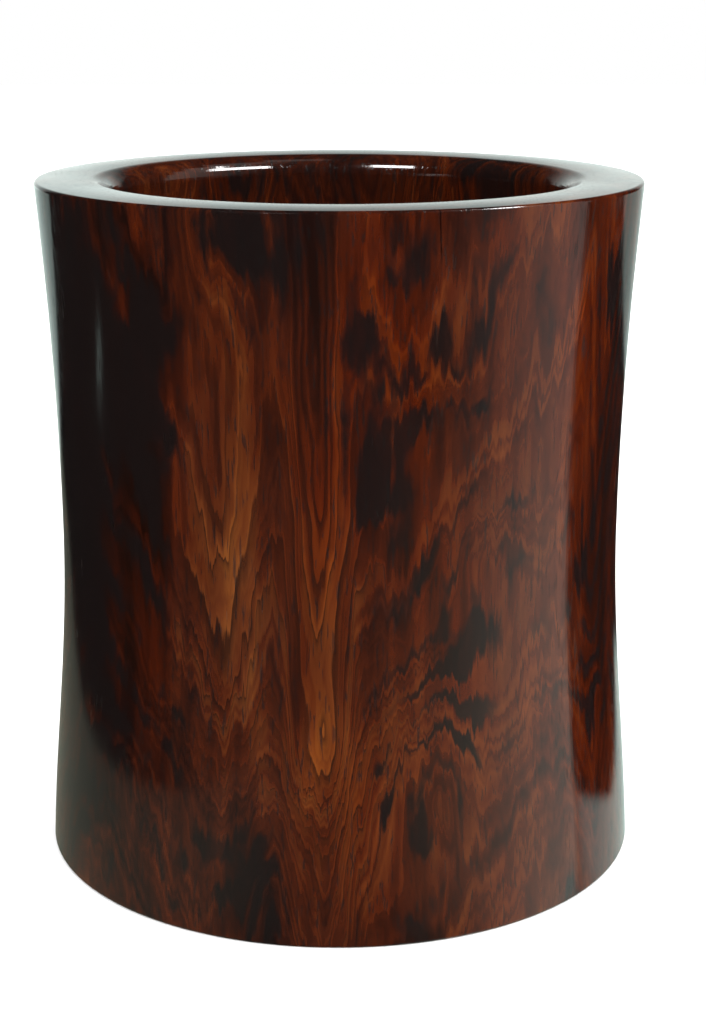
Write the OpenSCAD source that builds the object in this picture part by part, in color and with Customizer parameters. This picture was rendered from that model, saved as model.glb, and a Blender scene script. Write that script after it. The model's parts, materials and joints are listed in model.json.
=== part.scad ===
// Waisted brush pot turned from one log of rosewood.
// The log is bored right through to leave a thick wall. A slice of the same log is let into a
// rebate under the wall as the floor, and the pith at the middle of that slice, which would
// check as it dries, is bored out and closed with a tapered plug.
// Millimetres, +Z up, origin at the middle of the foot.

/* [Body] */
// Height from the foot to the rim
height = 200; // [120:1:260]
// Outside diameter at the rim
rim_d = 175.5; // [168:0.5:190]
// Outside diameter at the waist, where the body is slimmest
waist_d = 166; // [160:1:172]
// Outside diameter at the foot
foot_d = 178; // [172:1:190]
// Height of the waist, as a share of the whole height
waist_share = 0.485; // [0.35:0.005:0.65]
// How far the flare above the waist runs towards an S bend
rim_sweep = 40; // [20:5:150]
// How far the flare below the waist runs towards an S bend
foot_sweep = 149; // [20:1:150]

/* [Rim and foot edges] */
// Rounding of the rim's outer edge
rim_edge_r = 1; // [0.4:0.1:2]
// How far the rim's top falls away, in a low crown, from its middle to each edge
rim_fall = 0.25; // [0.05:0.05:0.6]
// Rounding of the rim's inner edge, over which the brushes lean
lip_r = 6; // [1:0.5:8]
// Rounding of the foot's outer edge
foot_edge_r = 1; // [0.4:0.1:2]

/* [Well] */
// Diameter of the well that holds the brushes
well_d = 132; // [110:1:144]
// Height of the well's floor above the foot
floor_z = 16; // [14:1:24]

/* [Base] */
// Diameter of the rebate that the base disc is let into
rebate_d = 150; // [146:1:154]
// How far the base disc's underside stands above the foot
recess = 6; // [3:1:8]
// Gap for glue round the base disc
glue_line = 0.1; // [0.05:0.05:0.3]
// Width of the small chamfers at the joints
chamfer = 0.6; // [0.3:0.1:1]

/* [Plug] */
// Diameter of the pith plug at the well's floor
plug_top_d = 30; // [16:1:44]
// Diameter of the pith plug at the underside
plug_under_d = 33; // [20:1:48]

/* [Hidden] */

$fn = 180;
flare_steps = 24;
edge_steps = 8;
crown_steps = 12;
waist_z = height * waist_share;
base_t = floor_z - recess;
disc_r = rebate_d / 2 - glue_line;
crown_r = well_d / 2 + lip_r;
rim_half = (rim_d / 2 - rim_edge_r - crown_r) / 2;
rim_slope = atan(2 * rim_fall / rim_half);

// Rises from 0 at the waist (s = 0) to 1 at the end of a flare (s = 1). A small sweep gives a
// plain bow, and a sweep towards 180 eases out again at the end.
function flare(s, sweep) = (1 - cos(sweep * s)) / (1 - cos(sweep));

// Outside radius of the body at height z
function body_r(z) =
    z > waist_z
    ? waist_d / 2 + (rim_d - waist_d) / 2 * flare((z - waist_z) / (height - waist_z), rim_sweep)
    : waist_d / 2 + (foot_d - waist_d) / 2 * flare((waist_z - z) / waist_z, foot_sweep);

// Points along an arc of radius r about the centre c, from angle a to angle b
function arc(c, r, a, b) =
    [for (i = [0 : edge_steps]) let (t = a + (b - a) * i / edge_steps) c + r * [cos(t), sin(t)]];

// Points up the outside of the body, between the foot's edge and the rim's edge
function side(z0, z1) =
    [for (i = [1 : 2 * flare_steps - 1])
        let (z = z0 + (z1 - z0) * i / (2 * flare_steps)) [body_r(z), z]];

// Points across the crown of the rim, from radius r0 at its outer edge in to radius r1
function crown(r0, r1) =
    [for (i = [1 : crown_steps - 1])
        let (s = 1 - 2 * i / crown_steps)
        [(r0 + r1) / 2 + (r0 - r1) / 2 * s, height - rim_fall * s * s]];

// Half section of the wall, as [radius, height]
module wall_section() {
    foot_z = foot_edge_r;
    rim_z = height - rim_fall - rim_edge_r * cos(rim_slope);
    rim_x = body_r(rim_z) - rim_edge_r;
    lip_z = height - rim_fall - lip_r * cos(rim_slope);
    polygon(concat(
        arc([body_r(foot_z) - foot_edge_r, foot_z], foot_edge_r, -90, 0),
        side(foot_z, rim_z),
        arc([rim_x, rim_z], rim_edge_r, 0, 90 - rim_slope),
        crown(rim_x + rim_edge_r * sin(rim_slope), crown_r - lip_r * sin(rim_slope)),
        arc([crown_r, lip_z], lip_r, 90 + rim_slope, 180),
        [
            [well_d / 2, floor_z],
            [rebate_d / 2, floor_z],
            [rebate_d / 2, chamfer],
            [rebate_d / 2 + chamfer, 0]
        ]
    ));
}

// Plug hole through the base disc, wider at the underside so that the plug wedges as it is
// driven up. It runs a little past both faces along the same taper.
module plug_taper(past = 0) {
    slope = (plug_under_d - plug_top_d) / 2 / base_t;
    translate([0, 0, recess - past])
        cylinder(h = base_t + 2 * past, r1 = plug_under_d / 2 + slope * past,
                 r2 = plug_top_d / 2 - slope * past);
}

module pot_wall() {
    color("#4a1d10") rotate_extrude() wall_section();
}

module base_disc() {
    color("#3c1a11") difference() {
        rotate_extrude() polygon([
            [0, recess],
            [disc_r - chamfer, recess],
            [disc_r, recess + chamfer],
            [disc_r, floor_z],
            [0, floor_z]
        ]);
        plug_taper(past = 1);
    }
}

module pith_plug() {
    color("#5a2815") plug_taper();
}

pot_wall();
base_disc();
pith_plug();
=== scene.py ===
"""A waisted rosewood brush pot, put together as its maker would: the wall is turned and polished,
the base disc is let in from below, and the tapered pith plug is driven into the disc."""
import json
import math

import bpy
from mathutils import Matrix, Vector


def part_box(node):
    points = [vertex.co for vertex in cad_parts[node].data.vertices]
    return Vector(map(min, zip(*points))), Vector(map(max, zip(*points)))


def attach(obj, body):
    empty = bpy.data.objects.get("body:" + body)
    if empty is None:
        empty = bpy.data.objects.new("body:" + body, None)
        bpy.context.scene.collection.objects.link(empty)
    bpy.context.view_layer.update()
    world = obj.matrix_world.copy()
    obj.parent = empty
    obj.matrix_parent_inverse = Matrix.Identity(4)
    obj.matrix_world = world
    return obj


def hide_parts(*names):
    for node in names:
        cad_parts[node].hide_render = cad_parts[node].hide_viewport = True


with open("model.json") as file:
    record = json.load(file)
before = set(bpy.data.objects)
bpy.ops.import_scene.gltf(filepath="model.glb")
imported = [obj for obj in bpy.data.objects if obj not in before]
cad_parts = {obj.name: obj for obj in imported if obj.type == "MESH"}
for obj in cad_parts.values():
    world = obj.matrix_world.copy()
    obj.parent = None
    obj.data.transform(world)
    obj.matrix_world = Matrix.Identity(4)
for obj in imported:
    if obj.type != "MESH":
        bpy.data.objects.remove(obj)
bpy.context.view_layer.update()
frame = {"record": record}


# ---- The wall -----------------------------------------------------------------------------
# One length of rosewood log, bored through and turned to a waist, then sanded and waxed until
# it shines. It is hand work, so it isn't quite round, and the wood has moved a little since.

mm = 0.001
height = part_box("pot_wall")[1][2]
well_mount = next(m for m in frame["record"]["mounts"] if m["name"] == "well")
well_r = well_mount["dims"]["r_mm"] * mm
floor_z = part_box("base_disc")[1][2]
rim_r = 87.75 * mm
waist_r = 83 * mm
foot_r = 89 * mm
waist_z = 0.485 * height
sweep_above = math.radians(40)
sweep_below = math.radians(149)
rebate_r = 75 * mm
edge_r = 1 * mm
lip_r = 6 * mm
rim_fall = 0.25 * mm
joint_chamfer = 0.6 * mm
wall_steps_round = 440
wall_out_of_round = 0.06 * mm
wall_hand_marks = 0.05 * mm


def flare(share, sweep):
    """Rises from 0 at the waist to 1 at the end of a flare."""
    return (1 - math.cos(sweep * share)) / (1 - math.cos(sweep))


def body_r(z):
    """Outside radius of the turned body at height z."""
    if z > waist_z:
        return waist_r + (rim_r - waist_r) * flare((z - waist_z) / (height - waist_z), sweep_above)
    return waist_r + (foot_r - waist_r) * flare((waist_z - z) / waist_z, sweep_below)


def arc(centre, radius, start, end, steps):
    """Points of a section along an arc, as (radius from the axis, height)."""
    turns = [math.radians(start + (end - start) * i / steps) for i in range(steps + 1)]
    return [(centre[0] + radius * math.cos(t), centre[1] + radius * math.sin(t)) for t in turns]


def straight(start, end, steps):
    """Points between two corners of a section, without the corners."""
    return [(start[0] + (end[0] - start[0]) * i / steps, start[1] + (end[1] - start[1]) * i / steps)
            for i in range(1, steps)]


def wall_section():
    """Half section of the wall: up the outside, over the rim, down the well, out to the foot."""
    crown_r = well_r + lip_r
    slope = math.atan(4 * rim_fall / (rim_r - edge_r - crown_r))
    rim_z = height - rim_fall - edge_r * math.cos(slope)
    lip_z = height - rim_fall - lip_r * math.cos(slope)
    outer_x = body_r(rim_z) - edge_r
    points = arc((body_r(edge_r) - edge_r, edge_r), edge_r, -90, 0, 5)
    points += [(body_r(z), z) for _, z in straight((0, edge_r), (0, rim_z), 84)]
    points += arc((outer_x, rim_z), edge_r, 0, 90 - math.degrees(slope), 6)
    outer_x += edge_r * math.sin(slope)
    inner_x = crown_r - lip_r * math.sin(slope)
    for i in range(1, 12):
        share = 1 - i / 6
        crown_x = (outer_x + inner_x + (outer_x - inner_x) * share) / 2
        points.append((crown_x, height - rim_fall * share ** 2))
    points += arc((crown_r, lip_z), lip_r, 90 + math.degrees(slope), 180, 12)
    corners = [(well_r, lip_z), (well_r, floor_z), (rebate_r, floor_z),
               (rebate_r, joint_chamfer), (rebate_r + joint_chamfer, 0), points[0]]
    for start, end, steps in zip(corners, corners[1:], (36, 6, 8, 1, 7)):
        points += straight(start, end, steps)
        if end != points[0]:
            points.append(end)
    return points


class Recipe:
    """Adds nodes to one tree, one line for each step of the recipe."""

    def __init__(self, tree):
        self.tree = tree

    def add(self, kind, **settings):
        node = self.tree.nodes.new(kind)
        for name, value in settings.items():
            setattr(node, name, value)
        return node

    def put(self, socket, value):
        """Joins another node's output to a socket, or sets the socket to a plain value."""
        if isinstance(value, bpy.types.NodeSocket):
            self.tree.links.new(value, socket)
        else:
            socket.default_value = value

    def math(self, operation, *values):
        node = self.add("ShaderNodeMath", operation=operation)
        for socket, value in zip(node.inputs, values):
            self.put(socket, value)
        return node.outputs[0]

    def vector(self, operation, *values):
        node = self.add("ShaderNodeVectorMath", operation=operation)
        for socket, value in zip(node.inputs, values):
            self.put(socket, value)
        return node.outputs["Value" if operation == "DOT_PRODUCT" else "Vector"]

    def join(self, x, y, z):
        node = self.add("ShaderNodeCombineXYZ")
        for socket, value in zip(node.inputs, (x, y, z)):
            self.put(socket, value)
        return node.outputs[0]

    def split(self, vector):
        node = self.add("ShaderNodeSeparateXYZ")
        self.put(node.inputs[0], vector)
        return node.outputs

    def fade(self, value, low, high, to_low=0.0, to_high=1.0):
        """A smooth step from to_low to to_high as value goes from low to high."""
        node = self.add("ShaderNodeMapRange", interpolation_type="SMOOTHSTEP")
        for socket, setting in zip(node.inputs, (value, low, high, to_low, to_high)):
            self.put(socket, setting)
        return node.outputs[0]

    def noise(self, place, scale, detail=2.0, roughness=0.5, dimensions="3D"):
        """Cloudy noise, about 0 and mostly within half a unit of it."""
        node = self.add("ShaderNodeTexNoise", noise_dimensions=dimensions, normalize=False)
        self.put(node.inputs["W" if dimensions == "1D" else "Vector"], place)
        self.put(node.inputs["Scale"], scale)
        self.put(node.inputs["Detail"], detail)
        self.put(node.inputs["Roughness"], roughness)
        return node.outputs[0]

    def blend(self, share, under, over, blend_type="MIX"):
        node = self.add("ShaderNodeMix", data_type="RGBA", blend_type=blend_type)
        self.put(node.inputs["Factor"], share)
        self.put(node.inputs[6], under)
        self.put(node.inputs[7], over)
        return node.outputs[2]

    def ramp(self, value, *stops):
        node = self.add("ShaderNodeValToRGB")
        while len(node.color_ramp.elements) < len(stops):
            node.color_ramp.elements.new(0.5)
        for element, (place, colour) in zip(node.color_ramp.elements, stops):
            element.position = place
            element.color = colour
        self.put(node.inputs[0], value)
        return node.outputs[0]


def lathe_tree():
    """Turns a section, given as a row of points, about the Z axis. The wood has moved since it
    was turned, so the round is drawn in a little on two sides, and never grows."""
    tree = bpy.data.node_groups.new("Turn on the lathe", "GeometryNodeTree")
    for name, kind in (("Section", "NodeSocketGeometry"), ("Steps Round", "NodeSocketInt"),
                       ("Section Closed", "NodeSocketInt"), ("Out Of Round", "NodeSocketFloat"),
                       ("Hand Marks", "NodeSocketFloat"), ("Material", "NodeSocketMaterial")):
        tree.interface.new_socket(name, in_out="INPUT", socket_type=kind)
    tree.interface.new_socket("Turned Piece", in_out="OUTPUT", socket_type="NodeSocketGeometry")
    work = Recipe(tree)
    given = work.add("NodeGroupInput").outputs
    size = work.add("GeometryNodeAttributeDomainSize", component="MESH")
    work.put(size.inputs[0], given["Section"])
    points = size.outputs["Point Count"]
    rows = work.math("ADD", points, given["Section Closed"])
    grid = work.add("GeometryNodeMeshGrid")
    work.put(grid.inputs["Vertices X"], work.math("ADD", given["Steps Round"], 1))
    work.put(grid.inputs["Vertices Y"], rows)
    index = work.add("GeometryNodeInputIndex").outputs[0]
    column = work.math("FLOOR", work.math("DIVIDE", work.math("ADD", index, 0.5), rows))
    row = work.math("MODULO", work.math("SUBTRACT", index, work.math("MULTIPLY", column, rows)), points)
    sample = work.add("GeometryNodeSampleIndex", data_type="FLOAT_VECTOR")
    work.put(sample.inputs["Geometry"], given["Section"])
    work.put(sample.inputs["Value"], work.add("GeometryNodeInputPosition").outputs[0])
    work.put(sample.inputs["Index"], row)
    radius, _, z = work.split(sample.outputs[0])
    turn = work.math("MULTIPLY", work.math("DIVIDE", column, given["Steps Round"]), math.tau)
    drawn_in = work.math("MULTIPLY", work.math("SUBTRACT", 1, work.math("COSINE", work.math(
        "MULTIPLY_ADD", turn, 2.0, 0.9))), given["Out Of Round"])
    around = work.join(work.math("SINE", turn), work.math("MULTIPLY", work.math("COSINE", turn), -1), z)
    marks = work.noise(work.vector("MULTIPLY", around, (1.6, 1.6, 22.0)), 1.0, 2.0)
    marks = work.math("MULTIPLY", work.math("ADD", marks, 1.0), given["Hand Marks"])
    usual_r = 80 * mm
    share = work.math("DIVIDE", work.math("ADD", drawn_in, marks), usual_r)
    radius = work.math("MULTIPLY", radius, work.math("SUBTRACT", 1, share))
    place = work.add("GeometryNodeSetPosition")
    work.put(place.inputs["Geometry"], grid.outputs["Mesh"])
    work.put(place.inputs["Position"], work.join(
        work.math("MULTIPLY", radius, work.math("SINE", turn)),
        work.math("MULTIPLY", radius, work.math("MULTIPLY", work.math("COSINE", turn), -1)), z))
    merge = work.add("GeometryNodeMergeByDistance")
    work.put(merge.inputs["Geometry"], place.outputs[0])
    work.put(merge.inputs["Distance"], 1e-6)
    smooth = work.add("GeometryNodeSetShadeSmooth", domain="EDGE")
    work.put(smooth.inputs["Geometry"], merge.outputs[0])
    angle = work.add("GeometryNodeInputMeshEdgeAngle").outputs["Unsigned Angle"]
    sharpest_smooth = math.radians(28)
    work.put(smooth.inputs["Shade Smooth"], work.math("LESS_THAN", angle, sharpest_smooth))
    realize = work.add("GeometryNodeRealizeInstances")
    work.put(realize.inputs[0], smooth.outputs[0])
    finish = work.add("GeometryNodeSetMaterial")
    work.put(finish.inputs["Geometry"], realize.outputs[0])
    work.put(finish.inputs["Material"], given["Material"])
    work.put(work.add("NodeGroupOutput").inputs[0], finish.outputs[0])
    return tree


lathe = lathe_tree()


def turn_piece(name, section, closed, steps, out_of_round, hand_marks, material):
    """Turns one piece from its section and leaves it as a plain mesh."""
    outline = bpy.data.meshes.new(name + "_section")
    edges = [(i, i + 1) for i in range(len(section) - 1)]
    outline.from_pydata([(r, 0, z) for r, z in section], edges, [])
    piece = bpy.data.objects.new(name, outline)
    bpy.context.scene.collection.objects.link(piece)
    modifier = piece.modifiers.new("lathe", "NODES")
    modifier.node_group = lathe
    given = {"Steps Round": steps, "Section Closed": int(closed), "Out Of Round": out_of_round,
             "Hand Marks": hand_marks, "Material": material}
    for item in lathe.interface.items_tree:
        if item.in_out == "INPUT" and item.name in given:
            modifier[item.identifier] = given[item.name]
    solid = piece.evaluated_get(bpy.context.evaluated_depsgraph_get())
    mesh = bpy.data.meshes.new_from_object(solid)
    mesh.name = name
    piece.modifiers.remove(modifier)
    piece.data = mesh
    return piece


# The log's figure: flames that run down into points, laid side by side round the log. Each is
# (degrees round from the front, height of its point in mm, steepness, lean, roundness in mm).
flames = [(-22, 50, 2.5, 0.6, 1.5), (-3, 20, 7.0, 0.8, 3.0), (-1, 76, 0.9, 0.2, 6.0),
          (59, 112, 4.2, 0.0, 2.0), (98, 40, 3.0, -0.6, 5.0), (138, 85, 5.0, 1.0, 3.0),
          (171, 50, 3.5, -0.8, 2.0), (-150, 95, 4.5, 0.8, 4.0), (-112, 30, 3.0, -0.5, 3.0),
          (-72, 60, 5.0, 1.0, 4.0)]
# Where the flames draw out into long upright lines: (degrees round, half width in mm, height in
# mm from which they do).
straightened = [(-4, 17, 70), (-23, 10, 116), (-112, 16, 70), (138, 14, 110), (98, 12, 90)]
# Swellings in the trunk that bend the rings into eyes and arches: (degrees round, height in
# mm, half width in mm, half height in mm, how many mm the rings are pushed).
swellings = [(-5, 60, 9, 12, -24), (17, 46, 13, 20, 46), (30, 98, 12, 14, 26), (16, 138, 9, 14, 24),
             (60, 60, 9, 16, 30), (-17, 187, 9, 14, 30), (100, 120, 16, 26, 40),
             (-160, 60, 16, 24, 40)]
# Where the heartwood is golden, and where it is dark red: (degrees round, height in mm, half
# width in mm, half height in mm, strength). The wide dark spot at 180 degrees and 200 mm is
# painted shade: it darkens the inside of the well at the back, and the back under the rim with it.
golden_and_shaded_spots = [(-20, 104, 11, 44, 0.30), (-4, 62, 10, 16, 0.24), (-4, 110, 12, 50, 0.14),
          (57, 150, 8, 32, 0.12), (62, 110, 8, 90, -0.20), (27, 66, 9, 18, 0.14),
          (12, 142, 6, 10, 0.22), (12, 186, 5, 5, 0.16), (36, 70, 12, 40, 0.12),
          (42, 160, 12, 40, 0.17), (-2, 196, 34, 26, -0.16), (-52, 120, 26, 100, -0.46),
          (-18, 14, 16, 22, -0.18), (18, 60, 16, 60, -0.06), (140, 90, 18, 60, 0.14),
          # The last spot on this next line, at 180 degrees and 200 mm, is painted shade in the back of
          # the well.
          (-140, 120, 16, 50, 0.14), (178, 140, 18, 60, -0.15), (180, 200, 70, 18, -0.14),
          (-38, 130, 10, 70, -0.08)]
# Where the dark lines between the rings show most, in the same terms.
lined = [(-24, 88, 15, 60, 0.85), (-3, 110, 18, 120, 0.90), (58, 120, 12, 70, 0.55),
         (34, 110, 12, 90, 0.15), (130, 100, 30, 90, 0.5), (-130, 100, 40, 90, 0.5)]
# Where dark bars follow the rings most, in the same terms.
barred = [(17, 48, 15, 26, 0.50), (61, 110, 9, 90, 0.45), (14, 150, 16, 50, 0.15),
          (-150, 100, 30, 90, 0.25)]
# Where it is a clearer orange red than elsewhere, in the same terms.
clear_red = [(64, 110, 17, 110, 1.2), (12, 150, 13, 46, 0.7), (-3, 140, 14, 60, 0.45),
             (-5, 62, 8, 14, 0.4), (-120, 100, 20, 90, 0.6)]
# Where the wood is black with pigment, and below 0 where it is free of it, in the same terms.
# The spot at 135 degrees and 186 mm is painted shade, not pigment: it darkens the inside of the
# well at the back right, where the light from the right doesn't reach.
pigment_and_shade_spots = [(-17, 189, 9, 12, 0.85), (-62, 128, 30, 80, 0.80), (-36, 150, 11, 44, 0.46),
             (-17, 22, 12, 14, 0.40), (-15, 73, 3, 6, 0.20), (12, 150, 16, 50, 0.24),
             (-34, 92, 8, 30, 0.20), (20, 80, 16, 40, 0.15), (11, 181, 8, 4, 0.30),
             (5, 166, 4, 10, 0.25), (15, 164, 7, 5, 0.30), (8, 148, 8, 5, 0.26),
             (18, 139, 7, 5, 0.30), (12, 125, 6, 4, 0.26), (15, 103, 11, 7, 0.25),
             (12, 85, 6, 4, 0.26), (28, 80, 10, 7, 0.22), (17, 68, 9, 4, 0.30),
             (9, 50, 3, 13, 0.30), (25, 52, 4, 11, 0.25), (17, 34, 6, 8, 0.35),
             (60, 60, 7, 22, 0.45), (57, 96, 6, 8, 0.30), (66, 140, 6, 60, 0.32),
             (-22, 110, 14, 55, -0.50), (-4, 110, 11, 80, -0.32), (-5, 50, 10, 26, -0.34),
             (42, 150, 12, 60, -0.20), (40, 40, 12, 40, -0.15), (100, 110, 18, 60, 0.30),
             # The second spot on this next line, at 135 degrees and 186 mm, is painted shade in the
             # back right of the well.
             (176, 60, 24, 60, 0.30), (135, 186, 34, 30, 0.40), (-140, 70, 16, 24, 0.35),
             (140, 150, 20, 16, 0.35)]
# Hairline checks that opened in the end grain as the log dried: (degrees round, height in mm
# that they reach down to from the rim).
checks = [(17.5, 185), (-141, 189), (96, 191)]
check_half_width = 0.16 * mm
ring_gap = 13 * mm
skin_r = 85 * mm


def figure_group():
    """The pattern of the log as a node group. It takes a place in the log and gives the wood's
    colour, how far the grain stands open, and how deep the black pigment is. The colour and the
    pigment also carry painted shade in the back of the well."""
    tree = bpy.data.node_groups.new("Rosewood figure", "ShaderNodeTree")
    tree.interface.new_socket("Place In Log", in_out="INPUT", socket_type="NodeSocketVector")
    for name, kind in (("Color", "NodeSocketColor"), ("Pores", "NodeSocketFloat"),
                       ("Pigment", "NodeSocketFloat")):
        tree.interface.new_socket(name, in_out="OUTPUT", socket_type=kind)
    work = Recipe(tree)
    place = work.add("NodeGroupInput").outputs[0]
    x, y, z = work.split(place)
    from_pith = work.math("SQRT", work.math("MULTIPLY_ADD", x, x, work.math("MULTIPLY", y, y)))
    bend = work.noise(work.vector("MULTIPLY", place, (16, 16, 9)), 1.0, 2.0)
    sway_place = work.vector("ADD", work.vector("MULTIPLY", place, (20, 20, 14)), (7, 3, 1))
    sway = work.noise(sway_place, 1.0, 2.0)
    turn = work.math("ARCTAN2", x, work.math("MULTIPLY", y, -1))
    turn = work.math("MULTIPLY_ADD", bend, 0.05, turn)
    # Each fibre carries the figure a little higher or lower than its neighbour does.
    fibres = work.noise(work.vector("MULTIPLY", place, (300, 300, 20)), 1.0, 3.0, 0.6)
    rise = work.math("MULTIPLY_ADD", sway, 0.010, z)
    rise = work.math("MULTIPLY_ADD", fibres, 0.0055, rise)

    def across(degrees):
        """How far round the log a place is from a line at this angle, in metres."""
        away = work.math("WRAP", work.math("SUBTRACT", turn, math.radians(degrees)), math.pi, -math.pi)
        return work.math("MULTIPLY", away, skin_r)

    def add_spots(total, spots, scale):
        """Adds soft oval spots, each at its own angle and height and with its own strength."""
        for degrees, level, half_width, half_height, strength in spots:
            aside = work.math("DIVIDE", across(degrees), half_width * mm)
            above = work.math("DIVIDE", work.math("SUBTRACT", rise, level * mm), half_height * mm)
            away = work.math("MULTIPLY_ADD", aside, aside, work.math("MULTIPLY", above, above))
            spot = work.math("EXPONENT", work.math("MULTIPLY", away, -1))
            total = work.math("MULTIPLY_ADD", spot, strength * scale, total)
        return total

    climb = rise
    for degrees, half_width, level in straightened:
        aside = work.math("DIVIDE", across(degrees), half_width * mm)
        share = work.math("EXPONENT", work.math("MULTIPLY", work.math("MULTIPLY", aside, aside), -1))
        share = work.math("MULTIPLY", share, 0.62)
        over = work.math("SMOOTH_MAX", work.math("SUBTRACT", rise, level * mm), 0.0, 10 * mm)
        climb = work.math("SUBTRACT", climb, work.math("MULTIPLY", share, over))
    rings = None
    for degrees, point, steep, lean, roundness in flames:
        away = across(degrees)
        width = work.math("SQRT", work.math("MULTIPLY_ADD", away, away, (roundness * mm) ** 2))
        flame = work.math("MULTIPLY_ADD", width, steep, (point - steep * roundness) * mm)
        flame = work.math("MULTIPLY_ADD", away, lean, flame)
        flame = work.math("SUBTRACT", flame, climb)
        rings = flame if rings is None else work.math("SMOOTH_MIN", rings, flame, 12 * mm)
    rings = add_spots(rings, swellings, mm)
    # Near the pith the flames die out and only round rings are left.
    rings = work.math("MULTIPLY", rings, work.fade(from_pith, 0.02, 0.06))
    rings = work.math("MULTIPLY_ADD", from_pith, 5.0, rings)
    strands = work.noise(work.vector("MULTIPLY", place, (170, 170, 10)), 1.0, 3.0)
    clouds = work.noise(work.vector("MULTIPLY", place, (46, 46, 16)), 1.0, 3.0)
    rings = work.math("MULTIPLY_ADD", strands, 0.006, rings)
    rings = work.math("MULTIPLY_ADD", clouds, 0.009, rings)
    band = work.math("DIVIDE", rings, ring_gap)

    # Each ring starts with a sharp dark line that fades into paler wood. Some lines are strong
    # and some hardly show.
    broad = work.noise(band, 0.55, 1.0, dimensions="1D")
    fine = work.noise(work.math("ADD", band, 31.7), 2.3, 2.0, dimensions="1D")
    year = work.math("FRACT", work.math("MULTIPLY_ADD", broad, 0.5, band))
    line = work.math("POWER", work.math("SUBTRACT", 1.0, year), 2.0)
    line = work.math("MULTIPLY", line, work.fade(year, 0.0, 0.08))
    patches = work.noise(work.join(work.math("MULTIPLY", x, 34), work.math("MULTIPLY", y, 34),
                                   work.math("MULTIPLY", rise, 15)), 1.0, 4.0, 0.6)
    line_depth = add_spots(work.math("MULTIPLY_ADD", patches, 0.4, 0.10), lined, 1.0)
    line_depth = work.math("MINIMUM", work.math("MAXIMUM", line_depth, 0.0), 0.95)
    streaks = work.noise(work.vector("MULTIPLY", place, (240, 240, 7)), 1.0, 3.0)
    tone = work.math("MULTIPLY_ADD", fine, 0.14, 0.44)
    tone = work.math("MULTIPLY_ADD", streaks, 0.16, tone)
    tone = work.math("MULTIPLY_ADD", broad, 0.14, tone)
    tone = work.math("MULTIPLY_ADD", patches, 0.20, tone)
    # Besides golden and dark red wood, these spots paint shade into the back of the well.
    tone = add_spots(tone, golden_and_shaded_spots, 1.0)
    colour = work.ramp(tone, (0.06, (0.0060, 0.0022, 0.0018, 1)), (0.30, (0.018, 0.0038, 0.0018, 1)),
                       (0.50, (0.040, 0.0070, 0.0020, 1)), (0.74, (0.078, 0.0185, 0.0042, 1)),
                       (0.98, (0.125, 0.0360, 0.0070, 1)))
    clear = work.noise(work.vector("MULTIPLY", place, (26, 26, 9)), 1.0, 2.0)
    clear = add_spots(work.math("MULTIPLY", clear, 1.2), clear_red, 1.0)
    colour = work.blend(work.math("MINIMUM", work.math("MAXIMUM", clear, 0.0), 1.0), colour,
                        (1.08, 0.74, 0.40, 1), blend_type="MULTIPLY")
    colour = work.blend(work.math("MULTIPLY", line, line_depth), colour, (0.0070, 0.0024, 0.0016, 1))

    # Black pigment lies in clouds, and in short bars that step up round the log. The fibres
    # feather both.
    slant = work.math("MULTIPLY_ADD", across(0), -0.45, rise)
    bars = work.noise(work.join(work.math("MULTIPLY", x, 58), work.math("MULTIPLY", y, 58),
                                work.math("MULTIPLY", slant, 92)), 1.0, 2.0, 0.5)
    dark = work.math("MULTIPLY_ADD", bars, 0.34, -0.02)
    dark = work.math("MULTIPLY_ADD", patches, -0.45, dark)
    bar_depth = add_spots(0.20, barred, 1.0)
    ring_bars = work.math("SINE", work.math("MULTIPLY", band, 3.6))
    dark = work.math("MULTIPLY_ADD", ring_bars, bar_depth, dark)
    # These spots lay pigment, and also paint shade into the back right of the well.
    dark = add_spots(dark, pigment_and_shade_spots, 1.0)
    pigment = work.fade(dark, 0.09, 0.50)
    pigment = work.math("MULTIPLY", pigment, work.math("MULTIPLY_ADD", streaks, 0.12, 0.90))
    colour = work.blend(pigment, colour, (0.0050, 0.0032, 0.0030, 1))
    for degrees, level in checks:
        aside = work.math("DIVIDE", across(degrees), check_half_width)
        split = work.math("EXPONENT", work.math("MULTIPLY", work.math("MULTIPLY", aside, aside), -1))
        split = work.math("MULTIPLY", split, work.fade(rise, (level - 2) * mm, (level + 4) * mm))
        colour = work.blend(split, colour, (0.002, 0.001, 0.001, 1))

    # Pores: short open vessels along the grain.
    pores = work.noise(work.vector("MULTIPLY", place, (1500, 1500, 110)), 1.0, 2.0)
    pores = work.fade(pores, 0.36, 0.54)
    colour = work.blend(work.math("MULTIPLY", pores, 0.5), colour, (0.004, 0.0018, 0.0015, 1))
    given = work.add("NodeGroupOutput")
    work.put(given.inputs["Color"], colour)
    work.put(given.inputs["Pores"], pores)
    work.put(given.inputs["Pigment"], pigment)
    return tree


figure = figure_group()


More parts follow.
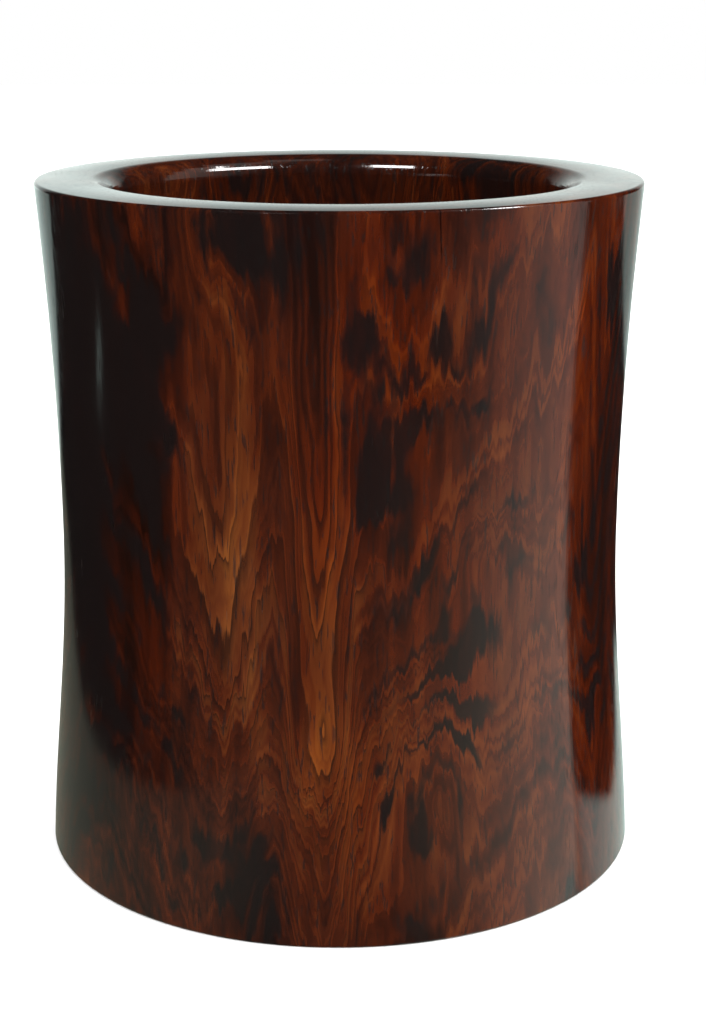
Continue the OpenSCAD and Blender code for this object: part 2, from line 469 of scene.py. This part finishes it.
def wood_material(name, gloss, bump):
    """Waxed rosewood cut from the log, with its own depth of polish."""
    material = bpy.data.materials.new(name)
    material.use_nodes = True
    work = Recipe(material.node_tree)
    shader = material.node_tree.nodes["Principled BSDF"]
    place = work.add("ShaderNodeTexCoord").outputs["Object"]
    wood = work.add("ShaderNodeGroup", node_tree=figure)
    work.put(wood.inputs[0], place)
    work.put(shader.inputs["Base Color"], wood.outputs["Color"])
    haze = work.noise(work.vector("MULTIPLY", place, (60, 60, 30)), 1.0, 3.0)
    roughness = work.math("MULTIPLY_ADD", haze, 0.06, gloss)
    roughness = work.math("MULTIPLY_ADD", wood.outputs["Pores"], 0.15, roughness)
    work.put(shader.inputs["Roughness"], roughness)
    shader.inputs["Specular IOR Level"].default_value = 0.5
    shader.inputs["IOR"].default_value = 1.5
    dent = work.add("ShaderNodeBump")
    dent.inputs["Strength"].default_value = bump
    dent.inputs["Distance"].default_value = 0.2 * mm
    work.put(dent.inputs["Height"], work.math("MULTIPLY", wood.outputs["Pores"], -1))
    work.put(shader.inputs["Normal"], dent.outputs[0])
    return material


wall_wood = wood_material("Polished rosewood wall", 0.09, 0.06)
wall = turn_piece("rosewood_wall", wall_section(), True, wall_steps_round, wall_out_of_round,
                  wall_hand_marks, wall_wood)
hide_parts("pot_wall")
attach(wall, "root")


# ---- The base disc ------------------------------------------------------------------------
# A slice across the same log, turned to drop into the rebate under the wall, glued, and
# scraped smooth. Its face shows the rings of the log end on.

disc_low, disc_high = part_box("base_disc")
disc_r = disc_high[0]
plug_low, plug_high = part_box("pith_plug")
plug_under_r = plug_high[0]
plug_top_r = 15 * mm
disc_edge = 0.6 * mm
hairline = 0.15 * mm
disc_corners = [(plug_under_r + hairline, disc_low[2]), (disc_r - disc_edge, disc_low[2]),
                (disc_r, disc_low[2] + disc_edge), (disc_r, disc_high[2]),
                (plug_top_r + hairline, disc_high[2])]
disc_section = []
for start, end, steps in zip(disc_corners, disc_corners[1:] + disc_corners[:1], (40, 1, 8, 40, 8)):
    disc_section += [start] + straight(start, end, steps)
disc_wood = wood_material("Scraped rosewood disc", 0.36, 0.4)
disc = turn_piece("rosewood_base_disc", disc_section, True, 360, 0.0, 0.0, disc_wood)
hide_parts("base_disc")
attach(disc, "root")


# ---- The pith plug ------------------------------------------------------------------------
# A short tapered plug of the same wood, driven up into the disc where the pith was bored out
# and cut flush. A hairline shows round it on both faces.

plug_edge = 0.3 * mm
plug_corners = [(0, plug_low[2]), (plug_under_r - plug_edge, plug_low[2]),
                (plug_under_r, plug_low[2] + plug_edge), (plug_top_r, plug_high[2] - plug_edge),
                (plug_top_r - plug_edge, plug_high[2]), (0, plug_high[2])]
plug_section = []
for start, end, steps in zip(plug_corners, plug_corners[1:], (12, 1, 8, 1, 12)):
    plug_section += [start] + straight(start, end, steps)
plug_section.append(plug_corners[-1])
plug_wood = wood_material("Scraped rosewood plug", 0.33, 0.4)
plug = turn_piece("rosewood_pith_plug", plug_section, False, 160, 0.0, 0.0, plug_wood)
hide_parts("pith_plug")
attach(plug, "root")


# ---- The table and the light --------------------------------------------------------------
# A white table, lit from the right by the whole room. Two soft boxes stand in front. What the
# polish mirrors is arranged apart: a white screen behind and one to the right, and black
# velvet elsewhere, so that the wood keeps its depth.


def lay_card(name, half):
    """A square card lying on the table round the pot, and its material."""
    mesh = bpy.data.meshes.new(name)
    corners = [(-half, -half, 0), (half, -half, 0), (half, half, 0), (-half, half, 0)]
    mesh.from_pydata(corners, [], [(0, 1, 2, 3)])
    card = bpy.data.objects.new(name, mesh)
    bpy.context.scene.collection.objects.link(card)
    surface = bpy.data.materials.new(name)
    surface.use_nodes = True
    mesh.materials.append(surface)
    return card, surface


table, table_surface = lay_card("white_table", 4.0)
shader = table_surface.node_tree.nodes["Principled BSDF"]
shader.inputs["Base Color"].default_value = (0.9, 0.9, 0.9, 1)
shader.inputs["Roughness"].default_value = 0.9
shader.inputs["Specular IOR Level"].default_value = 0.0
table.visible_glossy = False

# How the table looks in the polish, as if the pot stood on a dark cloth. On the right the near
# edge of the cloth cuts off a grey glow, and white table shows past its corner close by and
# past its far edge. On the left there is a fainter glow close by, white table past the far
# edge, and the streak of a small window.
glow, glow_surface = lay_card("glow_in_the_polish", 3.0)
glow.visible_camera = glow.visible_diffuse = glow.visible_shadow = glow.visible_transmission = False
work = Recipe(glow_surface.node_tree)
x, y, _ = work.split(work.add("ShaderNodeTexCoord").outputs["Object"])
reach = work.math("SQRT", work.math("MULTIPLY_ADD", x, x, work.math("MULTIPLY", y, y)))
turn = work.math("ARCTAN2", x, work.math("MULTIPLY", y, -1))


def past(across, along, distance, soft):
    """Fades from 0 to 1 past a straight edge on the table, which lies this far from the middle."""
    far = work.math("MULTIPLY_ADD", x, across, work.math("MULTIPLY", y, along))
    return work.fade(far, (distance - soft) * mm, (distance + soft) * mm)


right = work.math("MULTIPLY", work.fade(turn, math.radians(5), math.radians(45), 0.04, 0.40),
                  work.fade(reach, 600 * mm, 260 * mm))
right = work.math("MULTIPLY", right, past(0.276, -0.961, 74, 3))
left = work.math("MULTIPLY", work.fade(turn, math.radians(-5), math.radians(-40), 0.04, 0.24),
                 work.fade(reach, 330 * mm, 130 * mm, 0.5, 1.0))
left = work.math("MULTIPLY", left, past(0.983, 0.183, -203, 14))
left = work.math("MULTIPLY", left, work.fade(x, 0.0, -30 * mm))
corner = work.math("MULTIPLY", past(0.636, 0.772, 82, 8), past(0.955, -0.296, 112, 8))
patch = work.math("MULTIPLY", work.math("SUBTRACT", 1.0, corner), past(-0.276, 0.961, -72, 10))
patch = work.math("MULTIPLY", patch, work.fade(x, 20 * mm, 60 * mm, 0.0, 0.85))
patch = work.math("MULTIPLY", patch, work.fade(y, 200 * mm, 120 * mm))
far_left = work.math("MULTIPLY", past(0.517, 0.856, 272, 8),
                     work.fade(x, -60 * mm, -140 * mm, 0.0, 0.52))
far_right = work.math("MULTIPLY", past(-0.114, 0.993, 620, 20),
                      work.fade(x, 60 * mm, 140 * mm, 0.0, 0.45))
aside = work.math("DIVIDE", work.math("ADD", x, 665 * mm), 60 * mm)
above = work.math("DIVIDE", work.math("SUBTRACT", y, 134 * mm), 18 * mm)
streak = work.math("MULTIPLY_ADD", aside, aside, work.math("MULTIPLY", above, above))
streak = work.math("EXPONENT", work.math("MULTIPLY", streak, -1))
glows = work.math("MAXIMUM", right, left)
whites = work.math("ADD", patch, work.math("ADD", far_left, far_right))
whites = work.math("MULTIPLY_ADD", streak, 0.8, whites)
glow_tint = (0.88, 0.97, 0.76)
white_tint = (0.82, 1.04, 0.97)
light = work.vector("MULTIPLY", work.join(glows, glows, glows), glow_tint)
light = work.vector("MULTIPLY_ADD", work.join(whites, whites, whites), white_tint, light)
lamp = work.add("ShaderNodeEmission")
work.put(lamp.inputs["Color"], light)
through = work.add("ShaderNodeAddShader")
work.put(through.inputs[0], lamp.outputs[0])
work.put(through.inputs[1], work.add("ShaderNodeBsdfTransparent").outputs[0])
work.put(glow_surface.node_tree.nodes["Material Output"].inputs["Surface"], through.outputs[0])

world = bpy.data.worlds.new("Studio")
bpy.context.scene.world = world
world.use_nodes = True
work = Recipe(world.node_tree)
sky = world.node_tree.nodes["Background"]
direction = work.add("ShaderNodeTexCoord").outputs["Generated"]
x, y, z = work.split(direction)
turn = work.math("ARCTAN2", x, work.math("MULTIPLY", y, -1))
lift = work.math("ARCSINE", z)
screen = work.math("MULTIPLY", work.fade(turn, math.radians(36), math.radians(92), 0.0, 0.46),
                   work.fade(turn, math.radians(106), math.radians(103)))
# The screen behind narrows below the table's edge and fades out towards the ceiling.
edge = work.fade(lift, math.radians(-22), math.radians(-5), math.radians(172), math.radians(138))
inside = work.math("SUBTRACT", work.math("ABSOLUTE", turn), edge)
inside = work.math("SUBTRACT", inside, work.fade(turn, 0.0, math.radians(120), 0.0, math.radians(9)))
behind = work.math("MULTIPLY", work.fade(inside, 0.0, math.radians(7)),
                   work.fade(inside, 0.0, math.radians(28), 0.35, 1.0))
behind = work.math("MULTIPLY", behind, work.fade(lift, math.radians(30), math.radians(-2)))
behind = work.math("MULTIPLY", behind, work.fade(work.math("ABSOLUTE", turn), math.radians(179),
                                                 math.radians(169), 0.72, 1.12))
behind = work.math("MULTIPLY", behind, work.fade(lift, math.radians(-9), math.radians(-3), 0.22, 1.0))
seen_in_polish = work.math("MAXIMUM", screen, behind)
velvet = (0.008, 0.009, 0.009, 1)
white_screen = (1.25, 1.42, 1.37, 1)
mirrored = work.blend(seen_in_polish, velvet, white_screen)
room_side = (0.80, -0.46, 0.38)
key = work.vector("DOT_PRODUCT", direction, room_side)
even = work.math("MULTIPLY_ADD", key, 1.45, 1.95)
rays = work.add("ShaderNodeLightPath").outputs
seen = work.blend(rays["Is Camera Ray"], even, (1, 1, 1, 1))
work.put(sky.inputs["Color"], work.blend(rays["Is Glossy Ray"], seen, mirrored))
sky.inputs["Strength"].default_value = 1.0


def soft_box(name, degrees, elevation, distance, width, tall, power):
    """A soft box that faces the pot from this direction."""
    lamp = bpy.data.lights.new(name, "AREA")
    lamp.shape = "RECTANGLE"
    lamp.size = width
    lamp.size_y = tall
    lamp.energy = power
    holder = bpy.data.objects.new(name, lamp)
    bpy.context.scene.collection.objects.link(holder)
    turn = math.radians(degrees)
    lift = math.radians(elevation)
    aim = Vector((math.sin(turn) * math.cos(lift), -math.cos(turn) * math.cos(lift), math.sin(lift)))
    holder.location = aim * distance + Vector((0, 0, height / 2))
    holder.rotation_euler = aim.to_track_quat("Z", "Y").to_euler()
    holder.visible_diffuse = False
    return holder


soft_box("soft_box_right", 66, 46, 1.6, 0.8, 0.35, 30)
soft_box("soft_box_left", -34, 46, 1.6, 0.5, 0.35, 22)


# ---- The camera ---------------------------------------------------------------------------
# A long portrait lens a little above the rim, looking down into the mouth.

camera_place = (3.9 * mm, -2.939 * height, 1.291 * height)
camera_down = math.radians(15.14)
lens = bpy.data.cameras.new("camera")
lens.sensor_width = 36
lens.lens = 70.9
camera = bpy.data.objects.new("camera", lens)
camera.location = camera_place
camera.rotation_euler = (math.pi / 2 - camera_down, 0, 0)
bpy.context.scene.collection.objects.link(camera)
bpy.context.scene.camera = camera
bpy.context.scene.view_settings.view_transform = "Standard"
